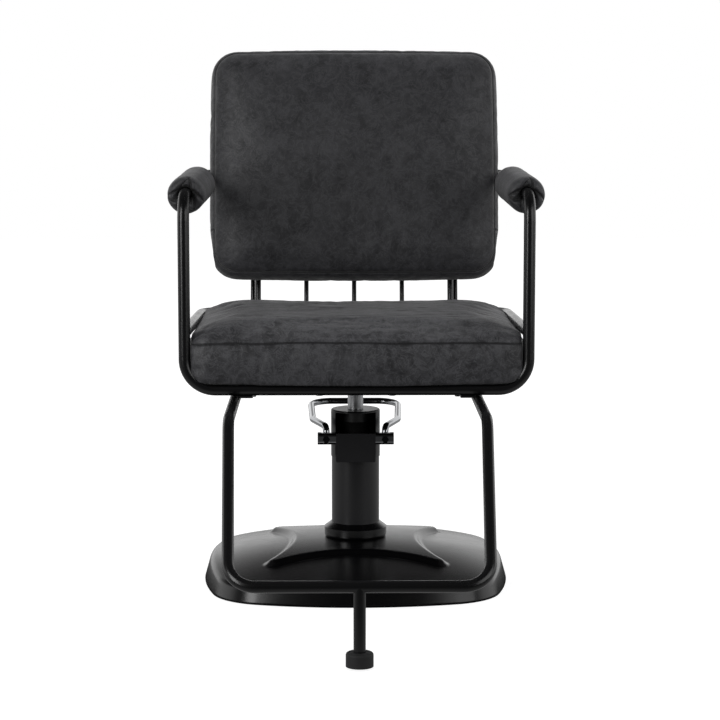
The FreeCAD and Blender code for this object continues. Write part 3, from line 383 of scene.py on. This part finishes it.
# Ground steel is bright, with fine rings across the axis and a soft change of tone.
ring_mm = 0.9
ground_steel, tree, shader, place = start_finish("ground_steel", Metallic=1.0)
across = add(tree, "Mapping", {0: place, "Scale": (60, 60, 1000 / ring_mm)})
rings = add(tree, "TexNoise", {"Vector": across.outputs[0], "Scale": 1.0, "Detail": 3.0,
                               "Roughness": 0.7})
colour = add(tree, "Mix", {0: rings.outputs["Fac"], 6: linear("#a9abad"), 7: linear("#dcdddf")},
             data_type="RGBA")
gloss = add(tree, "MapRange", {"Value": rings.outputs["Fac"], "To Min": 0.48, "To Max": 0.3})
relief = add(tree, "Bump", {"Height": rings.outputs["Fac"], "Strength": 0.6, "Distance": 0.00004})
end_finish(tree, shader, colour, gloss, relief)
give(ground_steel, "piston_rod", "piston", "pump_plunger")
give(seal_rubber, "piston_seals")
# Spring wire is drawn smooth, a mid grey with a clear shine.
spring_steel = clouded_finish("spring_steel", "#6f7276", "#9a9da1", cloud_mm=6, rough=0.3,
                              rough_change=0.05, grain_mm=0.5, grain_depth_mm=0.008, Metallic=1.0)
give(spring_steel, "return_spring")

# The foot lever: a bar bent cold and chromed, gripped by two chromed blocks with hexagon bolts,
# on a rocking plate that is zinc plated and blackened.

# Chrome over polished steel is a mirror with a trace of waviness.
chrome = clouded_finish("bright_chrome", "#96989b", "#a6a8ab", cloud_mm=35, rough=0.1,
                        rough_change=0.03, grain_mm=3.0, grain_depth_mm=0.004, Metallic=1.0)
give(chrome, "lever_loop", "lever_clamp_left", "lever_clamp_right")
give(blackened_steel, "clamp_screws")
# Black zinc plate is charcoal with a weak, cloudy metal shine.
zinc_plate = clouded_finish("black_zinc_plate", "#212123", "#29292b", cloud_mm=16, rough=0.4,
                            rough_change=0.05, grain_mm=1.2, grain_depth_mm=0.01, Metallic=0.4)
give(zinc_plate, "lever_yoke")

# What carries the seat: a turned socket on the rod with its bronze sleeve, a plate with four
# bolts, two flat tubes and two straps, welded up and powder coated black like the frame.

# Smooth powder coat is a deep even black with a soft, slightly wavy shine.
powder_coat = clouded_finish("black_powder_coat", "#0b0b0c", "#101011", cloud_mm=60, rough=0.26,
                             rough_change=0.03, grain_mm=1.6, grain_depth_mm=0.003)
give(powder_coat, "swivel_socket", "mount_plate", "cross_bar_front", "cross_bar_rear",
     "seat_bearer_left", "seat_bearer_right")
give(blackened_steel, "mount_bolts")
give(bearing_bronze, "swivel_bush", "thrust_washer")

# The footrest: one loop of steel tube, powder coated, clamped under the straps. Its leg is a
# shorter tube welded under the bar, with a round rubber foot that clears the floor.
give(powder_coat, "footrest_loop", "footrest_clamps", "antitip_leg")
give(blackened_steel, "footrest_clamp_bolts")
give(moulded_rubber, "leg_foot")

# The frame round the sitter: bent steel tubes and slim rods, welded and ground smooth, then
# powder coated together with the brackets for the back.
give(powder_coat, "front_frame", "arm_hoop", "seat_hoop", "back_spindles", "back_upright_left",
     "back_upright_right", "back_brackets")

# The boards under the seat and behind the back: plywood sawn to shape and stained black, held
# with screws. The stain is matt, and fibres and plies show through it as paler streaks.
stained_ply, tree, shader, place = start_finish("black_stained_plywood")
layers = add(tree, "Mapping", {0: place, "Scale": (12, 3, 700)})
fibres = add(tree, "TexNoise", {"Vector": layers.outputs[0], "Scale": 1.0, "Detail": 5.0})
colour = add(tree, "Mix", {0: fibres.outputs["Fac"], 6: linear("#0e0d0c"), 7: linear("#1d1b19")},
             data_type="RGBA")
gloss = add(tree, "MapRange", {"Value": fibres.outputs["Fac"], "To Min": 0.75, "To Max": 0.55})
relief = add(tree, "Bump", {"Height": fibres.outputs["Fac"], "Strength": 0.5, "Distance": 0.0002})
end_finish(tree, shader, colour, gloss, relief)
give(stained_ply, "seat_board", "back_board")
give(blackened_steel, "seat_board_screws", "back_screws")


# The seat cushion: a charcoal faux-nubuck cover over foam, cut as a top, a side band and a
# bottom, and sewn along both edges of the band. It is pressed down between the tubes, and over
# the front one.
def faux_nubuck(name, dark, pale, folds, wear):
    """Brushed leather cloth: rubbed clouds, paler scuffs, a short nap, and painted shade along its
    seams and gathers.

    The folds say how many creases a metre has along each axis, and the wear how hard the tone
    changes.
    """
    material, tree, shader, place = start_finish(name, Sheen_Weight=0.12, Sheen_Roughness=0.45)
    # Clouds of 70 mm, blotches of 18 mm and specks of 2.4 mm, and scuffs in thin wisps
    cloud = add(tree, "TexNoise", {"Vector": place, "Scale": 14.0, "Detail": 4.0,
                                   "Roughness": 0.62})
    blotch = add(tree, "TexNoise", {"Vector": place, "Scale": 55.0, "Detail": 5.0,
                                    "Roughness": 0.65, "Distortion": 0.6})
    speck = add(tree, "TexNoise", {"Vector": place, "Scale": 420.0, "Detail": 3.0,
                                   "Roughness": 0.7})
    wisp = add(tree, "TexNoise", {"Vector": place, "Scale": 38.0, "Detail": 6.0,
                                  "Roughness": 0.7, "Distortion": 1.2})
    ridge = add(tree, "Math", {0: wisp.outputs["Fac"], 1: 0.5}, operation="SUBTRACT")
    ridge = add(tree, "Math", {0: ridge.outputs[0]}, operation="ABSOLUTE")
    scuff = add(tree, "MapRange", {"Value": ridge.outputs[0], "From Min": 0.03, "From Max": 0.0,
                                   "To Max": 0.35})
    tone = add(tree, "Math", {0: cloud.outputs["Fac"], 1: 0.55, 2: -0.03},
               operation="MULTIPLY_ADD")
    tone = add(tree, "Math", {0: blotch.outputs["Fac"], 1: 0.95, 2: tone.outputs[0]},
               operation="MULTIPLY_ADD")
    tone = add(tree, "Math", {0: speck.outputs["Fac"], 1: 0.5, 2: tone.outputs[0]},
               operation="MULTIPLY_ADD")
    tone = add(tree, "Math", {0: tone.outputs[0], 1: scuff.outputs[0]}, operation="ADD")
    spread = 0.35 / wear
    worn = add(tree, "MapRange", {"Value": tone.outputs[0], "From Min": 1 - spread,
                                  "From Max": 1 + spread})
    colour = add(tree, "Mix", {0: worn.outputs[0], 6: linear(dark), 7: linear(pale)},
                 data_type="RGBA")
    gloss = add(tree, "MapRange", {"Value": tone.outputs[0], "From Min": 0.65, "From Max": 1.35,
                                   "To Min": 0.62, "To Max": 0.5})
    # The nap and the grain, drawn at 1.1 and 2.6 mm, coarser than real ones, so that they show
    nap = add(tree, "TexNoise", {"Vector": place, "Scale": 900.0, "Detail": 2.0})
    grain = add(tree, "TexVoronoi", {"Vector": place, "Scale": 380.0})
    relief = add(tree, "Math", {0: grain.outputs["Distance"], 1: 0.6, 2: nap.outputs["Fac"]},
                 operation="MULTIPLY_ADD")
    relief = add(tree, "Bump", {"Height": relief.outputs[0], "Strength": 0.5,
                                "Distance": 0.00035})
    lie = add(tree, "Mapping", {0: place, "Scale": folds})
    crease = add(tree, "TexNoise", {"Vector": lie.outputs[0], "Scale": 1.0, "Detail": 3.0,
                                    "Roughness": 0.55})
    relief = add(tree, "Bump", {"Height": crease.outputs["Fac"], "Strength": 0.5,
                                "Distance": 0.004, "Normal": relief.outputs[0]})
    # Each cover carries its distances from the nearest seams or gathers, in metres. Close to them
    # the colour is painted nearly black, as shade in the grooves
    ways = add(tree, "SeparateXYZ",
               {0: add(tree, "Attribute", attribute_name="seams").outputs["Vector"]})
    near = [add(tree, "Math", {0: way}, operation="ABSOLUTE") for way in ways.outputs]
    nearest = add(tree, "Math", {0: near[0].outputs[0], 1: near[1].outputs[0]},
                  operation="MINIMUM")
    nearest = add(tree, "Math", {0: nearest.outputs[0], 1: near[2].outputs[0]},
                  operation="MINIMUM")
    # Painted shade: within a few millimetres of a seam or gather the cloth goes nearly black
    shadow = add(tree, "MapRange", {"Value": nearest.outputs[0], "From Min": 0.0006,
                                    "From Max": 0.0030, "To Min": 0.12})
    colour = add(tree, "Mix", {0: shadow.outputs[0], 6: linear("#0a0a0b"), 7: colour.outputs[2]},
                 data_type="RGBA")
    fold = add(tree, "MapRange", {"Value": nearest.outputs[0], "From Max": 0.004},
               interpolation_type="SMOOTHSTEP")
    relief = add(tree, "Bump", {"Height": fold.outputs[0], "Strength": 0.9, "Distance": 0.002,
                                "Normal": relief.outputs[0]})
    end_finish(tree, shader, colour, gloss, relief)
    return material


def with_modifiers_applied(piece):
    """Makes what a piece's modifiers show its own mesh."""
    shown = piece.evaluated_get(bpy.context.evaluated_depsgraph_get())
    mesh = bpy.data.meshes.new_from_object(shown)
    piece.modifiers.clear()
    piece.data = mesh


def outside(across, along, outline):
    """How far a place lies outside the seam's outline, a rectangle with round corners."""
    half_width, near, far, corner = outline
    x = abs(across) - (half_width - corner)
    y = abs(along - (near + far) / 2) - ((far - near) / 2 - corner)
    return math.hypot(max(x, 0), max(y, 0)) + min(max(x, y), 0) - corner


def sewn_cushion(name, core, placement, low_seam, high_seam, outline, joins, slack):
    """Sews a cover round a foam core and blows it up: seams and underside hold, panels swell.

    The seams run round the outline at two heights, and the joins across the band at its sides.
    """
    cloth_gap = 0.0022
    most_swell = 0.006
    voxel = 0.006
    held_fully, eased_over = 0.003, 0.009
    held_underside = 0.004
    valley_depth, valley_width = 0.0018, 0.0045
    side_depth = 0.022
    last_frame = 20
    cover = bpy.data.objects.new(name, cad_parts[core].data.copy())
    bpy.context.scene.collection.objects.link(cover)
    cover.data.transform(placement.inverted())
    bm = bmesh.new()
    bm.from_mesh(cover.data)
    bmesh.ops.remove_doubles(bm, verts=bm.verts, dist=0.00002)
    bm.to_mesh(cover.data)
    bm.free()
    rebuild = cover.modifiers.new("rebuild", "REMESH")
    rebuild.mode = "VOXEL"
    rebuild.voxel_size = voxel
    with_modifiers_applied(cover)
    outward = [v.normal.copy() for v in cover.data.vertices]
    for v, way in zip(cover.data.vertices, outward):
        v.co += way * cloth_gap
    seams = []
    pinned = cover.vertex_groups.new(name="sewn")
    for v in cover.data.vertices:
        out = outside(v.co.x, v.co.y, outline)
        from_high = v.co.z - high_seam - out
        from_low = v.co.z - low_seam + out if v.co.z < (low_seam + high_seam) / 2 else 1
        seams.append((from_high, from_low))
        hold = 1 - ramp(min(abs(from_high), abs(from_low)) - held_fully, eased_over)
        if v.co.z < low_seam + held_underside:
            hold = 1
        pinned.add([v.index], hold, "REPLACE")
    rest = [v.co.copy() for v in cover.data.vertices]
    air = cover.modifiers.new("air", "CLOTH")
    air.settings.quality = 5
    air.settings.mass = 0.4
    air.settings.tension_stiffness = 12
    air.settings.compression_stiffness = 12
    air.settings.shear_stiffness = 6
    air.settings.bending_stiffness = 0.8
    air.settings.shrink_min = -slack
    air.settings.use_pressure = True
    air.settings.uniform_pressure_force = 4
    air.settings.vertex_group_mass = "sewn"
    air.settings.effector_weights.gravity = 0
    air.collision_settings.use_collision = False
    air.collision_settings.use_self_collision = False
    air.point_cache.frame_start = 1
    air.point_cache.frame_end = last_frame
    for frame_number in range(1, last_frame + 1):
        bpy.context.scene.frame_set(frame_number)
    with_modifiers_applied(cover)
    bpy.context.scene.frame_set(1)
    # No place swells further than the limit, and the fullest ones come near it
    for v, start in zip(cover.data.vertices, rest):
        swell = v.co - start
        if swell.length > 0:
            kept = most_swell * math.tanh(swell.length / most_swell)
            v.co = start + swell * (kept / swell.length)
    # The distances from the seams, which the cloth reads for its painted shade in the seam grooves
    ways = []
    for (high, low), start in zip(seams, rest):
        on_band = high < 0 < low and abs(start.x) > outline[0] - side_depth
        join = min((start.y - j for j in joins), key=abs) if on_band and joins else 1
        ways += (high, low, join)
    cover.data.attributes.new("seams", "FLOAT_VECTOR", "POINT").data.foreach_set("vector", ways)
    # The thread pulls the cloth down into the foam along each seam
    inward = [-v.normal for v in cover.data.vertices]
    for v, way, (high, low) in zip(cover.data.vertices, inward, seams):
        v.co += way * valley_depth * math.exp(-(min(abs(high), abs(low)) / valley_width) ** 2)
    return cover


def dress(cover, cloth, *node_names):
    cover.data.shade_smooth()
    smooth = cover.modifiers.new("smooth", "SUBSURF")
    smooth.levels = 1
    smooth.render_levels = 1
    cover.data.materials.clear()
    cover.data.materials.append(cloth)
    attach(cover, "seat")
    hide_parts(*node_names)


seat_low = 0.3832
seat_high = 0.4562
seat_outline = (0.279, -0.248, 0.221, 0.032)
seat_side = 0.2836
side_bulge = 0.0066
side_push = 0.015
tube_line = -0.230
lip_line = tube_line - 0.0085
lip_drop = 0.0085
lip_top = seat_low + 0.016
bend_side = 0.2625
bend_height = seat_low + 0.013
bend_radius = 0.021
dent = 0.0016
seat_cover = sewn_cushion("seat_cover", "seat_foam", Matrix.Identity(4), low_seam=seat_low - 0.001,
                          high_seam=seat_high, outline=seat_outline, joins=(), slack=0.012)
for v in seat_cover.data.vertices:
    x, y, z = v.co
    # Soft hollows where people sit, and creases that run across the top from side to side
    if z > seat_high - 0.01:
        v.co.z += dent * noise.noise(Vector((x * 9, y * 11, 3.1)))
        v.co.z -= dent * max(0, 1 - abs(noise.noise(Vector((x * 5, y * 34, 7.7)))) * 7)
    else:
        v.co.y += 0.0010 * noise.noise(Vector((x * 16, z * 20, 1.3)))
        v.co.x += 0.0008 * noise.noise(Vector((y * 16, z * 20, 5.2)))
    # The front lip hangs over the front tube
    lip = ramp(lip_line - y, 0.004) * ramp(lip_top - z, 0.014)
    v.co.z -= lip * (lip_drop + 0.0010 * noise.noise(Vector((x * 28, 0.4, 2.2))))
    # Its lower corners are drawn in round the bends of that tube
    past_x, past_z = abs(v.co.x) - bend_side, bend_height - v.co.z
    if past_x > 0 and past_z > 0 and math.hypot(past_x, past_z) > bend_radius:
        shrink = bend_radius / math.hypot(past_x, past_z)
        v.co.x = math.copysign(bend_side + past_x * shrink, x)
        v.co.z = bend_height - past_z * shrink
    # The foam is pressed against the tubes at the sides, and swells behind the front ones, below
    # the side rails, which fall slightly to the rear
    v.co.x += math.copysign(side_push * ramp(abs(x) - 0.22, 0.05), x)
    below_rail = 0.460 - 0.027 * (y - tube_line) - z
    swell = ramp(y + 0.2195, 0.010) * ramp(below_rail, 0.005)
    limit = seat_side + side_bulge * swell
    v.co.x = max(-limit, min(limit, v.co.x))
# The seat's nubuck is drawn paler than the back's, and its creases lie close together across the
# seat.
seat_cloth = faux_nubuck("pale_seat_faux_nubuck", "#1b1b1e", "#464649", folds=(7, 60, 7), wear=1.7)
dress(seat_cover, seat_cloth, "seat_cushion", "seat_foam")

# The back cushion is made the same way and leans back on its board. Its side band is pieced
# together at both sides, a third of the way up.

# It is sewn lying down, then stood up and leaned back
lean = math.atan2(0.066, 0.262)
back_foot = (0, 0.2343, 0.458)
leaning = Matrix.Translation(back_foot) @ Matrix(((1, 0, 0, 0),
                                                  (0, math.sin(lean), -math.cos(lean), 0),
                                                  (0, math.cos(lean), math.sin(lean), 0),
                                                  (0, 0, 0, 1)))
back_outline = (0.267, 0.062, 0.491, 0.046)
pillow = 0.007
pillow_edge = 0.055
taper_side = 0.2640
taper_share = 0.85
back_cover = sewn_cushion("back_cover", "back_foam", leaning, low_seam=0.0209, high_seam=0.0869,
                          outline=back_outline, joins=(0.146,), slack=0.005)
for v in back_cover.data.vertices:
    x, y, z = v.co
    v.co.z += 0.0014 * noise.noise(Vector((x * 8, y * 9, 11.0)))
    # The front panel stands up like a pillow inside its seam
    inside = ramp(-outside(x, y, back_outline), pillow_edge) * ramp(z - 0.080, 0.010)
    v.co.z += pillow * math.sin(inside * math.pi / 2)
    # Below its join the side band is pulled tighter, so the cushion narrows towards its foot
    tight = ramp(0.150 - y, 0.070) * (1 - ramp(z - 0.070, 0.012))
    v.co.x = math.copysign(abs(x) - max(abs(x) - taper_side, 0) * taper_share * tight, x)
back_cover.data.transform(leaning)
# The back's nubuck is drawn darker than the seat's, with wide soft folds.
back_cloth = faux_nubuck("charcoal_faux_nubuck", "#161619", "#3d3d40", folds=(9, 9, 9), wear=1.25)
dress(back_cover, back_cloth, "back_cushion", "back_foam")

# The arm pads: a strip of the same cloth round foam, sewn along underneath, and gathered at both
# ends with a thread that is pulled tight round the tube.

# Sizes in millimetres, and each gather's turn round the pad in degrees with its depth
pad_radius = 32.5
pad_length = 300.0
pad_steps = 40
pad_end = 22
pad_setback = 48.0
pad_drop = 4.0
mouth_radius = 11.4
arm_front = (294.5, -230, 705)
arm_rear = (288, 316, 720)
gathers = ((120, 6.0), (168, 4.5), (20, 4.0), (-30, 5.5), (-55, 4.0), (215, 5.0), (265, 4.2),
           (75, 3.0))
far_end_turn = 47
gather_width = 4.5
# Half of the pad cut lengthwise, as places along it with their radius: out of the mouth, over
# the rolled end, and along
end_line = [(6.5, 11.4), (3.2, 11.6), (1.2, 12.8), (0.3, 15), (0.0, 18), (0.2, 21), (1.1, 24),
            (2.9, 26.8), (5.4, 29.0), (8.4, 30.6), (12, 31.7), (16.5, 32.3), (22, 32.5)]
line = end_line + [(pad_end + (pad_length - 2 * pad_end) * i / pad_steps, pad_radius)
                   for i in range(1, pad_steps)]
line += [(pad_length - z, r) for z, r in reversed(end_line)]
# The nubuck round the pads has short folds in every direction.
pad_cloth = faux_nubuck("gathered_faux_nubuck", "#161619", "#3d3d40", folds=(12, 12, 12), wear=1.3)
for side, name in ((1, "arm_pad_right"), (-1, "arm_pad_left")):
    bm = bmesh.new()
    points = [bm.verts.new((r, 0, z)) for z, r in line]
    edges = [bm.edges.new(pair) for pair in zip(points, points[1:])]
    bmesh.ops.spin(bm, geom=points + edges, angle=2 * math.pi, steps=160, axis=(0, 0, 1),
                   use_merge=True)
    bmesh.ops.remove_doubles(bm, verts=bm.verts, dist=0.001)
    creases = []
    for v in bm.verts:
        turn = math.degrees(math.atan2(v.co.y, v.co.x))
        reach = math.hypot(v.co.x, v.co.y)
        from_end = min(v.co.z, pad_length - v.co.z)
        way = 1 if v.co.z < pad_length / 2 else -1
        fade = max(from_end - 5, 0) / 4000
        pull = (1 - ramp(from_end - 4, 22)) * ramp(reach - 10, 5)
        pull *= max(1 - ramp(reach - 24, 12), 0.15)
        sink = 0
        crease = 1
        for i, (at, depth) in enumerate(gathers):
            # Each gather runs slantwise out of the mouth, with the cloth heaped up beside it
            slant = (reach - 18) * (2.2 if i % 2 else -1.6)
            away = turn - at - (0 if way > 0 else far_end_turn) - slant
            away = abs((away + 180) % 360 - 180)
            heap = 0.25 * depth * math.exp(-((away - 19) / 11) ** 2)
            sink += depth * math.exp(-away / gather_width) - heap
            crease = min(crease, math.radians(away) * reach * 4 / depth / 1000 + fade)
        # Painted shade: the cloth is darkened close to each gather's crease and near the mouth
        # round the tube
        creases += (min(crease, max(reach - 13, 0) / 2500 + fade), 1, 1)
        v.co.z += way * sink * pull * 0.75
        soft = noise.noise(Vector((v.co.x * 0.035, v.co.y * 0.035, v.co.z * 0.028 + side * 5)))
        shrink = 0.045 * sink * pull / 4 + 0.016 * soft * ramp(from_end, 20)
        shrink = 1 - shrink * ramp(reach, 30)
        v.co.x *= shrink
        v.co.y *= shrink
    bmesh.ops.recalc_face_normals(bm, faces=bm.faces)
    # The pad lies along the arm's tube and hangs a little, except where its mouths grip the tube
    arm_start = Vector((side * arm_front[0], *arm_front[1:]))
    arm_way = (Vector((side * arm_rear[0], *arm_rear[1:])) - arm_start).normalized()
    placement = Matrix.Translation(arm_start + arm_way * pad_setback)
    placement = placement @ arm_way.to_track_quat("Z", "Y").to_matrix().to_4x4()
    down = Vector((0, 0, -1)) - arm_way * arm_way.dot(Vector((0, 0, -1)))
    for v in bm.verts:
        share = ramp(Vector((v.co.x, v.co.y, 0)).length - mouth_radius, 12)
        v.co = (placement @ v.co + down.normalized() * pad_drop * share) / 1000
    pad = object_from(bm, name + "_cover")
    pad.data.attributes.new("seams", "FLOAT_VECTOR", "POINT").data.foreach_set("vector", creases)
    dress(pad, pad_cloth, name, name.replace("pad", "foam"))
